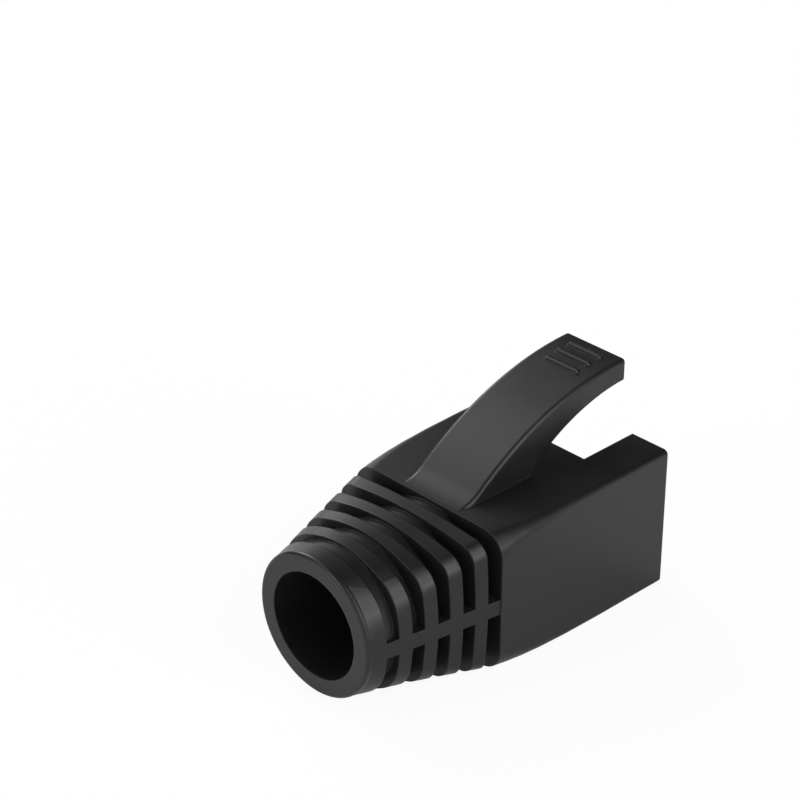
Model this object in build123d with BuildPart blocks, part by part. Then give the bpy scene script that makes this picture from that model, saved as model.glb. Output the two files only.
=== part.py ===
from build123d import *
import math
import os

# Strain relief boot for a modular eight-way plug, moulded in one piece from soft plastic.
# Millimetres. The origin is the centre of the cable bore at the collar's end face.
# +X runs from the collar to the plug mouth, +Z is up, and the boot is symmetric about XZ.

# Cable end
bore_radius = 3.48
bore_height = 4.93
sleeve_wall = 1.1
collar_radius = 4.69
collar_length = 1.38
collar_straight = 0.35
collar_corner = 4.59
collar_crown = 34.0
collar_side_crown = 14.0
collar_edge_round = 0.22

# Slotted strain relief
slot_count = 5
slot_width = 0.88
slot_pitch = 1.79
web_height = 1.04

# Section of the ribbed part, just behind the collar and at its wide end
rib_start_half_width = 4.84
rib_end_half_width = 6.2
rib_start_top_gap = 0.12
rib_start_bottom_gap = 0.16
rib_start_crown = 36.0
rib_end_crown = 2.0
rib_start_side_crown = 12.0
rib_end_side_crown = 3.8
rib_start_corner = 3.42
rib_end_corner = 1.1
rib_corner_fade = 2.5
top_rise_share = 0.31

# Plug hood
plug_width = 11.68
plug_side_fit = 0.14
plug_depth = 10.5
cavity_height = 6.93
side_wall = 0.32
floor_wall = 1.89
roof_wall = 0.92
hood_length = 14.72
shoulder_width = 12.58
shoulder_top_corner = 1.6
mouth_corner = 0.32
corner_fade = 4.7
hood_shares = (0, 0.07, 0.15, 0.25, 0.4, 0.6, 1)
hood_seat_corners = (2.24, 1.86, 1.4, 0.83, 0.49, 0.34, 0.32)
throat_length = 3.0

# Notch in the roof, where the plug's latch comes through
notch_width = 6.72
notch_length = 4.5

# Latch guard, a curved channel that reaches from the shoulder to the mouth
guard_width = 4.97
guard_overhang = 0.02
guard_top_radius = 21.2
guard_rise = 4.99
guard_root_blend = 3.0
guard_root_sink = 0.01
guard_plate = 0.8
guard_flange = 0.45
flange_tip_depth = 1.42
flange_arc_radius = 13.4
flange_bend_reach = 6.83
flange_bend_height = 1.5
flange_foot_radius = 4.5
flange_foot_reach = 8.25
guard_edge_round = 0.24
guard_tip_round = 0.14
guard_seat = 0.4

# Grip bars across the guard's tip
grip_count = 3
grip_first = 1.06
grip_pitch = 1.05
grip_length = 2.85
grip_width = 0.46
grip_height = 0.2
grip_taper = 0.16

# Places that follow from the sizes above
sleeve_radius = bore_radius + sleeve_wall
body_height = floor_wall + cavity_height + roof_wall
underside = -bore_height
roof = underside + body_height
mid_height = underside + body_height / 2
slot_starts = [collar_length + slot_pitch * index for index in range(slot_count)]
shoulder = slot_starts[-1] + slot_width
mouth = shoulder + hood_length
cavity_width = plug_width + 2 * plug_side_fit
mouth_width = cavity_width + 2 * side_wall
cavity_middle = underside + floor_wall + cavity_height / 2
cavity_end = mouth - plug_depth
bore_end = cavity_end - throat_length
guard_tip = mouth + guard_overhang
guard_tip_height = roof + guard_rise
cutter_reach = 3 * shoulder_width
cut_past = 1.0


def mix(start, end, share):
    return start + (end - start) * share


def crowned_section(half_width, half_height, corner, crown, side_crown):
    """Draws a closed outline of eight tangent arcs: four long side arcs and four short corner arcs."""
    top = math.radians(crown)
    side = math.radians(side_crown)
    width_left = half_width - corner * (math.cos(side) - math.sin(top))
    height_left = half_height - corner * (math.cos(top) - math.sin(side))
    share = math.sin(top) * math.sin(side) - (1 - math.cos(top)) * (1 - math.cos(side))
    top_radius = (width_left * math.sin(side) - height_left * (1 - math.cos(side))) / share
    side_radius = (height_left * math.sin(top) - width_left * (1 - math.cos(top))) / share

    top_centre = half_height - top_radius
    side_centre = half_width - side_radius
    corner_y = (top_radius - corner) * math.sin(top)
    corner_z = top_centre + (top_radius - corner) * math.cos(top)
    half_corner = (top + math.pi / 2 - side) / 2
    top_end = (top_radius * math.sin(top), top_centre + top_radius * math.cos(top))
    corner_middle = (
        corner_y + corner * math.sin(half_corner),
        corner_z + corner * math.cos(half_corner),
    )
    side_end = (side_centre + side_radius * math.cos(side), side_radius * math.sin(side))
    with BuildLine() as outline:
        ThreePointArc((-top_end[0], top_end[1]), (0, half_height), top_end)
        ThreePointArc(top_end, corner_middle, side_end)
        ThreePointArc(side_end, (half_width, 0), (side_end[0], -side_end[1]))
        ThreePointArc(
            (side_end[0], -side_end[1]),
            (corner_middle[0], -corner_middle[1]),
            (top_end[0], -top_end[1]),
        )
        ThreePointArc((top_end[0], -top_end[1]), (0, -half_height), (-top_end[0], -top_end[1]))
        ThreePointArc(
            (-top_end[0], -top_end[1]),
            (-corner_middle[0], -corner_middle[1]),
            (-side_end[0], -side_end[1]),
        )
        ThreePointArc((-side_end[0], -side_end[1]), (-half_width, 0), (-side_end[0], side_end[1]))
        ThreePointArc(
            (-side_end[0], side_end[1]),
            (-corner_middle[0], corner_middle[1]),
            (-top_end[0], top_end[1]),
        )
    return outline.line


def across(station, height):
    """Plane across the boot at a station along X, its own X along +Y and its own Y along +Z."""
    return Plane(origin=(station, 0, height), x_dir=(0, 1, 0), z_dir=(1, 0, 0))


# Outer form of the ribbed part: a round collar that grows into a crowned, rounded square
rib_start_top = roof - rib_start_top_gap
rib_start_bottom = underside + rib_start_bottom_gap
collar_outline = crowned_section(
    collar_radius, collar_radius, collar_corner, collar_crown, collar_side_crown
)
with BuildPart() as rib_form:
    with BuildSketch(across(0, 0)):
        add(collar_outline)
        make_face()
    extrude(amount=collar_straight)
    with BuildSketch(across(collar_straight, 0)):
        add(collar_outline)
        make_face()
    stations = [collar_length] + [start + slot_width / 2 for start in slot_starts[1:]] + [shoulder]
    for station in stations:
        share = (station - collar_length) / (shoulder - collar_length)
        top = mix(rib_start_top, roof, min(1, share / top_rise_share))
        bottom = mix(rib_start_bottom, underside, share)
        with BuildSketch(across(station, (top + bottom) / 2)):
            add(
                crowned_section(
                    mix(rib_start_half_width, rib_end_half_width, share),
                    (top - bottom) / 2,
                    mix(rib_end_corner, rib_start_corner, (1 - share) ** rib_corner_fade),
                    mix(rib_start_crown, rib_end_crown, share),
                    mix(rib_start_side_crown, rib_end_side_crown, share),
                )
            )
            make_face()
    loft(ruled=True)
    front_rim = rib_form.faces().sort_by(Axis.X)[0].edges()
    fillet(front_rim, collar_edge_round)

# Slots between the ribs: they leave the round sleeve inside and a web along each side
with BuildPart() as rib_slots:
    for start in slot_starts:
        with BuildSketch(across(start, 0)):
            Rectangle(cutter_reach, cutter_reach)
            Circle(sleeve_radius, mode=Mode.SUBTRACT)
            with Locations((0, mid_height)):
                Rectangle(cutter_reach, web_height, mode=Mode.SUBTRACT)
        extrude(amount=slot_width)

# Plug hood: its corners are soft at the shoulder and nearly square at the mouth
with BuildPart() as hood:
    for share, seat_corner in zip(hood_shares, hood_seat_corners):
        fade = (1 - share) ** corner_fade
        with BuildSketch(across(shoulder + hood_length * share, mid_height)) as section:
            Rectangle(mix(shoulder_width, mouth_width, share), body_height)
            corners = section.vertices().group_by(Axis.Z)
            fillet(corners[-1], mix(mouth_corner, shoulder_top_corner, fade))
            fillet(corners[0], seat_corner)
    loft(ruled=True)

# Latch guard, open underneath: its top is an arc that is level at the tip, and at the shoulder
# a hollow blend leads it down into the roof
guard_centre = guard_tip_height - guard_top_radius
blend_base = roof - guard_root_sink
blend_rise = blend_base + guard_root_blend - guard_centre
blend_span = guard_top_radius + guard_root_blend
blend_reach = math.sqrt(blend_span**2 - blend_rise**2)
guard_root = guard_tip - blend_reach
blend_end = (
    guard_tip - blend_reach * guard_top_radius / blend_span,
    guard_centre + blend_rise * guard_top_radius / blend_span,
)
channel_radius = guard_top_radius - guard_plate
channel_foot = guard_tip - math.sqrt(channel_radius**2 - (roof - guard_centre) ** 2)
channel_tip_height = guard_tip_height - guard_plate
flange_tip = guard_tip_height - flange_tip_depth
flange_bend = (guard_tip - flange_bend_reach, roof + flange_bend_height)
flange_foot = guard_tip - flange_foot_reach
with BuildPart() as guard:
    with BuildSketch(Plane.XZ):
        with BuildLine():
            RadiusArc((guard_root, blend_base), blend_end, -guard_root_blend)
            RadiusArc(blend_end, (guard_tip, guard_tip_height), guard_top_radius)
            Line((guard_tip, guard_tip_height), (guard_tip, flange_tip))
            RadiusArc((guard_tip, flange_tip), flange_bend, -flange_arc_radius)
            RadiusArc(flange_bend, (flange_foot, roof), -flange_foot_radius)
            Polyline(
                (flange_foot, roof),
                (flange_foot, roof - guard_seat),
                (guard_root, roof - guard_seat),
                (guard_root, blend_base),
            )
        make_face()
    extrude(amount=guard_width / 2, both=True)
    long_edges = guard.edges().filter_by(GeomType.CIRCLE).sort_by(SortBy.LENGTH)[-2:]
    fillet(long_edges, guard_edge_round)
    tip_edge = guard.faces().sort_by(Axis.X)[-1].edges().sort_by(Axis.Z)[-1]
    fillet(tip_edge, guard_tip_round)
    with BuildSketch(Plane.XZ):
        with BuildLine():
            RadiusArc((channel_foot, roof), (guard_tip, channel_tip_height), channel_radius)
            Polyline(
                (guard_tip, channel_tip_height),
                (guard_tip + cut_past, channel_tip_height),
                (guard_tip + cut_past, roof),
                (channel_foot, roof),
            )
        make_face()
    extrude(amount=guard_width / 2 - guard_flange, both=True, mode=Mode.SUBTRACT)

# Grip bars: round bars with tapered ends, half sunk into the guard along its curve
grip_radius = grip_width / 2
grip_sink = grip_radius - grip_height
with BuildPart() as grip:
    for index in range(grip_count):
        angle = (grip_first + grip_pitch * index) / guard_top_radius
        outward = Vector(-math.sin(angle), 0, math.cos(angle))
        middle = Vector(guard_tip, 0, guard_centre) + outward * (guard_top_radius - grip_sink)
        along = Vector(math.cos(angle), 0, math.sin(angle))
        with BuildSketch(Plane(origin=middle, x_dir=(0, 1, 0), z_dir=along)):
            with Locations((0, grip_radius / 2)):
                Trapezoid(grip_length, grip_radius, math.degrees(math.atan2(grip_radius, grip_taper)))
        revolve(axis=Axis(middle, (0, -1, 0)))

# The whole boot, then the passages through it
with BuildPart() as boot:
    add(rib_form.part)
    add(rib_slots.part, mode=Mode.SUBTRACT)
    add(hood.part)
    add(guard.part)
    add(grip.part)
    with BuildSketch(across(0, 0)):
        Circle(bore_radius)
    extrude(amount=bore_end, mode=Mode.SUBTRACT)
    with BuildSketch(across(bore_end, cavity_middle)):
        Rectangle(2 * bore_radius, cavity_height)
    with BuildSketch(across(cavity_end, cavity_middle)):
        Rectangle(cavity_width, cavity_height)
    loft(ruled=True, mode=Mode.SUBTRACT)
    with BuildSketch(across(cavity_end, cavity_middle)):
        Rectangle(cavity_width, cavity_height)
    extrude(amount=plug_depth + cut_past, mode=Mode.SUBTRACT)
    with BuildSketch(Plane.XY.offset(roof - roof_wall - cut_past)):
        with Locations((mouth - notch_length, 0)):
            Rectangle(notch_length + cut_past, notch_width, align=(Align.MIN, Align.CENTER))
    extrude(amount=roof_wall + 2 * cut_past, mode=Mode.SUBTRACT)

boot.part.label = "strain_relief_boot"
os.makedirs("parts", exist_ok=True)
export_step(boot.part, "parts/strain_relief_boot.step")
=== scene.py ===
import math

import bpy
from mathutils import Matrix, Vector


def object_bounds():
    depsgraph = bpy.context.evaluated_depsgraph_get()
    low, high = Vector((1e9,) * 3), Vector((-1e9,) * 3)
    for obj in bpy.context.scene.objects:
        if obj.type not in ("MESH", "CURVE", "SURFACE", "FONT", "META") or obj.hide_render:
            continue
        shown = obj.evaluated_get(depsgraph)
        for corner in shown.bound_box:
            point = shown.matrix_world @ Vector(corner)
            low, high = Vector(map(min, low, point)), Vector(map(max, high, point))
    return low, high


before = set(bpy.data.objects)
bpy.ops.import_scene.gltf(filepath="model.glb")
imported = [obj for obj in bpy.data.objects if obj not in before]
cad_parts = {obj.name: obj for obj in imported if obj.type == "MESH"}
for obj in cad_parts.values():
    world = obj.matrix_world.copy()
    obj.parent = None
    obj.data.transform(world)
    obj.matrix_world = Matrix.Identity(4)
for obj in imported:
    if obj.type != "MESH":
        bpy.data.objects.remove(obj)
cad_low, cad_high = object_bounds()

BOOT = "strain_relief_boot"
WHITE = (1.0, 1.0, 1.0, 1.0)

# Camera, in metres and degrees, in the boot's frame; lens and sensor in millimetres
CAMERA_PLACE = (-0.086562, -0.09594, 0.088443)
CAMERA_HEADING = 45.738
CAMERA_PITCH = -29.581
CAMERA_ROLL = 0.274
CAMERA_SENSOR = 36.0
CAMERA_LENS = 119.218
CAMERA_SHIFT = (0.0015, 0.0034)
CAMERA_CLIP = (0.01, 10.0)

# Boot plastic
PLASTIC_COLOUR = (0.0145, 0.0145, 0.0149)
PLASTIC_ROUGHNESS = 0.32
PLASTIC_IOR = 1.4

# Fine grain of the mould: cells per metre, detail, roughness of the noise, and the bump it makes
GRAIN_SCALE = 9000.0
GRAIN_DETAIL = 3.0
GRAIN_ROUGHNESS = 0.6
GRAIN_STRENGTH = 0.05
GRAIN_DEPTH = 0.00002

# Slow unevenness of gloss and colour: cells per metre, detail, roughness of the noise, its reach
RIPPLE_SCALE = 420.0
RIPPLE_DETAIL = 2.0
RIPPLE_ROUGHNESS = 0.5
RIPPLE_RANGE = (0.3, 0.7)
RIPPLE_GLOSS = 0.03
RIPPLE_TINT = 0.15

# Softness of the edges, in metres: along the latch guard above the roof, and everywhere else
EDGE_SOFTNESS = 0.0001
EDGE_SAMPLES = 8
GUARD_SOFTNESS = 0.0002
GUARD_START_HEIGHT = 0.0049
GUARD_END = 0.0203

# Floor, and how strongly it glows for the camera and for mirrored rays
FLOOR_SIZE = 4.0
FLOOR_COLOUR = (0.86, 0.86, 0.86)
FLOOR_SHARE_SEEN = 0.9
FLOOR_GLOW_SEEN = 1.03
FLOOR_GLOW_MIRRORED = 0.145

# Studio lights: heading and height of the middle in degrees, how narrow it is, radiance there
STUDIO_LIGHTS = {
    "side_low": (-75.0, 6.0, 20.0, 2.2),
    "side_panel": (-75.0, 20.0, 60.0, 3.2),
    "side_panel_left": (-88.0, 20.0, 120.0, 4.5),
    "side_panel_top": (-82.0, 42.0, 60.0, 6.0),
    "side_high": (-75.0, 62.0, 60.0, 2.4),
    "side_left_low": (-120.0, 6.0, 20.0, 0.9),
    "side_left": (-118.0, 26.0, 60.0, 1.3),
    "left_low": (-150.0, 6.0, 20.0, 1.2),
    "collar_low": (180.0, 6.0, 20.0, 1.0),
    "collar_panel": (165.0, 20.0, 60.0, 7.0),
    "back_left_high": (130.0, 54.0, 20.0, 1.2),
    "back_left": (115.0, 35.0, 60.0, 1.3),
    "back_high": (105.0, 56.0, 60.0, 0.7),
    "back_panel": (78.0, 32.0, 60.0, 9.6),
    "back_panel_left": (95.0, 40.0, 60.0, 3.2),
    "back_right_low": (60.0, 12.0, 60.0, 1.4),
    "back_right_high": (42.0, 54.0, 80.0, 0.7),
}

# Card of light close to the boot, in metres
CARD_PLACE = (0.062, 0.066, 0.055)
CARD_SIZE = 0.025
CARD_RADIANCE = 0.6


def new_material(name):
    """Makes a material with an empty node tree and its output node."""
    material = bpy.data.materials.new(name)
    material.use_nodes = True
    tree = material.node_tree
    tree.nodes.clear()
    output = tree.nodes.new("ShaderNodeOutputMaterial")
    return material, tree, output


def add_node(tree, kind, **inputs):
    """Adds a node and sets its inputs by name."""
    node = tree.nodes.new(kind)
    for name, value in inputs.items():
        node.inputs[name].default_value = value
    return node


def calculate(tree, operation, *values):
    """Adds a math node, fed by numbers or by other nodes' outputs, and gives its result."""
    node = tree.nodes.new("ShaderNodeMath")
    node.operation = operation
    for socket, value in zip(node.inputs, values):
        if isinstance(value, bpy.types.NodeSocket):
            tree.links.new(value, socket)
        else:
            socket.default_value = value
    return node.outputs["Value"]


def edge_softness(tree, place):
    """Radius that the edges are shaded with: larger along the latch guard's arch."""
    spot = tree.nodes.new("ShaderNodeSeparateXYZ")
    tree.links.new(place, spot.inputs["Vector"])
    over_roof = calculate(tree, "GREATER_THAN", spot.outputs["Z"], GUARD_START_HEIGHT)
    before_end = calculate(tree, "LESS_THAN", spot.outputs["X"], GUARD_END)
    on_guard = calculate(tree, "MULTIPLY", over_roof, before_end)
    more = GUARD_SOFTNESS - EDGE_SOFTNESS
    return calculate(tree, "MULTIPLY_ADD", on_guard, more, EDGE_SOFTNESS)


def moulded_plastic():
    """Black soft plastic: satin, with the mould's fine grain and a slightly uneven gloss."""
    material, tree, output = new_material("boot_plastic")
    link = tree.links.new
    shader = add_node(tree, "ShaderNodeBsdfPrincipled", IOR=PLASTIC_IOR)
    place = tree.nodes.new("ShaderNodeTexCoord").outputs["Object"]

    grain = add_node(
        tree, "ShaderNodeTexNoise",
        Scale=GRAIN_SCALE, Detail=GRAIN_DETAIL, Roughness=GRAIN_ROUGHNESS,
    )
    ripple = add_node(
        tree, "ShaderNodeTexNoise",
        Scale=RIPPLE_SCALE, Detail=RIPPLE_DETAIL, Roughness=RIPPLE_ROUGHNESS,
    )
    for noise in (grain, ripple):
        link(place, noise.inputs["Vector"])

    gloss = add_node(tree, "ShaderNodeMapRange")
    gloss.inputs["From Min"].default_value, gloss.inputs["From Max"].default_value = RIPPLE_RANGE
    gloss.inputs["To Min"].default_value = PLASTIC_ROUGHNESS - RIPPLE_GLOSS
    gloss.inputs["To Max"].default_value = PLASTIC_ROUGHNESS + RIPPLE_GLOSS
    link(ripple.outputs["Fac"], gloss.inputs["Value"])
    link(gloss.outputs["Result"], shader.inputs["Roughness"])

    tint = tree.nodes.new("ShaderNodeMix")
    tint.data_type = "RGBA"
    for name, share in (("A", 1.0 - RIPPLE_TINT), ("B", 1.0 + RIPPLE_TINT)):
        tint.inputs[name].default_value = (*(share * part for part in PLASTIC_COLOUR), 1.0)
    link(ripple.outputs["Fac"], tint.inputs["Factor"])
    link(tint.outputs["Result"], shader.inputs["Base Color"])

    edges = tree.nodes.new("ShaderNodeBevel")
    edges.samples = EDGE_SAMPLES
    link(edge_softness(tree, place), edges.inputs["Radius"])

    bump = add_node(tree, "ShaderNodeBump", Strength=GRAIN_STRENGTH, Distance=GRAIN_DEPTH)
    link(grain.outputs["Fac"], bump.inputs["Height"])
    link(edges.outputs["Normal"], bump.inputs["Normal"])
    link(bump.outputs["Normal"], shader.inputs["Normal"])
    link(shader.outputs["BSDF"], output.inputs["Surface"])
    return material


def floor_white():
    """White floor material: it glows for the camera and, more faintly, for mirrored rays."""
    material, tree, output = new_material("floor_white")
    link = tree.links.new
    rays = tree.nodes.new("ShaderNodeLightPath")
    matte = add_node(tree, "ShaderNodeBsdfDiffuse", Color=(*FLOOR_COLOUR, 1.0))
    mirrored_glow = add_node(tree, "ShaderNodeEmission", Color=WHITE)
    lit = tree.nodes.new("ShaderNodeAddShader")
    seen_glow = add_node(tree, "ShaderNodeEmission", Color=WHITE, Strength=FLOOR_GLOW_SEEN)
    mixed = tree.nodes.new("ShaderNodeMixShader")
    mirrored = calculate(tree, "MULTIPLY", rays.outputs["Is Glossy Ray"], FLOOR_GLOW_MIRRORED)
    seen = calculate(tree, "MULTIPLY", rays.outputs["Is Camera Ray"], FLOOR_SHARE_SEEN)
    link(mirrored, mirrored_glow.inputs["Strength"])
    link(matte.outputs["BSDF"], lit.inputs[0])
    link(mirrored_glow.outputs["Emission"], lit.inputs[1])
    link(seen, mixed.inputs["Fac"])
    link(lit.outputs["Shader"], mixed.inputs[1])
    link(seen_glow.outputs["Emission"], mixed.inputs[2])
    link(mixed.outputs["Shader"], output.inputs["Surface"])
    return material


def studio_floor(lowest):
    """Floor that the boot stands on: it catches the soft shadow and looks white."""
    half = FLOOR_SIZE / 2
    mesh = bpy.data.meshes.new("floor")
    sides = ((-half, -half), (half, -half), (half, half), (-half, half))
    mesh.from_pydata([(*side, lowest) for side in sides], [], [(0, 1, 2, 3)])
    mesh.materials.append(floor_white())
    floor = bpy.data.objects.new("floor", mesh)
    bpy.context.scene.collection.objects.link(floor)


def studio_light(tree, way, name, heading, height, focus, radiance):
    """Soft round light in the world, brightest at its middle."""
    turn = math.radians(heading)
    rise = math.radians(height)
    middle = tree.nodes.new("ShaderNodeVectorMath")
    middle.operation = "DOT_PRODUCT"
    middle.label = name
    middle.inputs[1].default_value = (
        math.cos(rise) * math.cos(turn),
        math.cos(rise) * math.sin(turn),
        math.sin(rise),
    )
    tree.links.new(way, middle.inputs[0])
    peak = math.log(radiance) - focus
    power = calculate(tree, "MULTIPLY_ADD", middle.outputs["Value"], focus, peak)
    return calculate(tree, "EXPONENT", power)


def studio_world():
    """Dark room with large soft lights around it, and white where the camera sees it."""
    world = bpy.data.worlds.new("studio")
    world.use_nodes = True
    tree = world.node_tree
    tree.nodes.clear()
    link = tree.links.new
    output = tree.nodes.new("ShaderNodeOutputWorld")
    way = tree.nodes.new("ShaderNodeTexCoord").outputs["Generated"]
    total = 0.0
    for name, settings in STUDIO_LIGHTS.items():
        total = calculate(tree, "ADD", total, studio_light(tree, way, name, *settings))
    room = add_node(tree, "ShaderNodeBackground", Color=WHITE)
    white = add_node(tree, "ShaderNodeBackground", Color=WHITE, Strength=1.0)
    rays = tree.nodes.new("ShaderNodeLightPath")
    mixed = tree.nodes.new("ShaderNodeMixShader")
    link(total, room.inputs["Strength"])
    link(rays.outputs["Is Camera Ray"], mixed.inputs["Fac"])
    link(room.outputs["Background"], mixed.inputs[1])
    link(white.outputs["Background"], mixed.inputs[2])
    link(mixed.outputs["Shader"], output.inputs["Surface"])
    bpy.context.scene.world = world


def roof_card():
    """Small card of light, so near the boot that the flat tops are brightest at the sleeve."""
    lamp = bpy.data.lights.new("roof_card", "AREA")
    lamp.size = CARD_SIZE
    lamp.energy = CARD_RADIANCE * math.pi * CARD_SIZE**2
    card = bpy.data.objects.new("roof_card", lamp)
    card.location = CARD_PLACE
    card.rotation_mode = "QUATERNION"
    card.rotation_quaternion = Vector(CARD_PLACE).to_track_quat("Z", "Y")
    card.visible_camera = False
    bpy.context.scene.collection.objects.link(card)


def photo_camera():
    """Camera at the place that the photograph was taken from."""
    camera = bpy.data.objects.new("camera", bpy.data.cameras.new("camera"))
    camera.data.sensor_width = CAMERA_SENSOR
    camera.data.lens = CAMERA_LENS
    camera.data.shift_x, camera.data.shift_y = CAMERA_SHIFT
    camera.data.clip_start, camera.data.clip_end = CAMERA_CLIP
    turn = (
        Matrix.Rotation(math.radians(CAMERA_HEADING - 90.0), 4, "Z")
        @ Matrix.Rotation(math.radians(90.0 + CAMERA_PITCH), 4, "X")
        @ Matrix.Rotation(math.radians(CAMERA_ROLL), 4, "Z")
    )
    camera.matrix_world = Matrix.Translation(CAMERA_PLACE) @ turn
    bpy.context.scene.collection.objects.link(camera)
    bpy.context.scene.camera = camera


photo_camera()
studio_world()
roof_card()
studio_floor(cad_low.z)

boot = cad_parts[BOOT]
plastic = moulded_plastic()
for place in boot.material_slots:
    place.material = plastic

bpy.context.scene.view_settings.view_transform = "Standard"
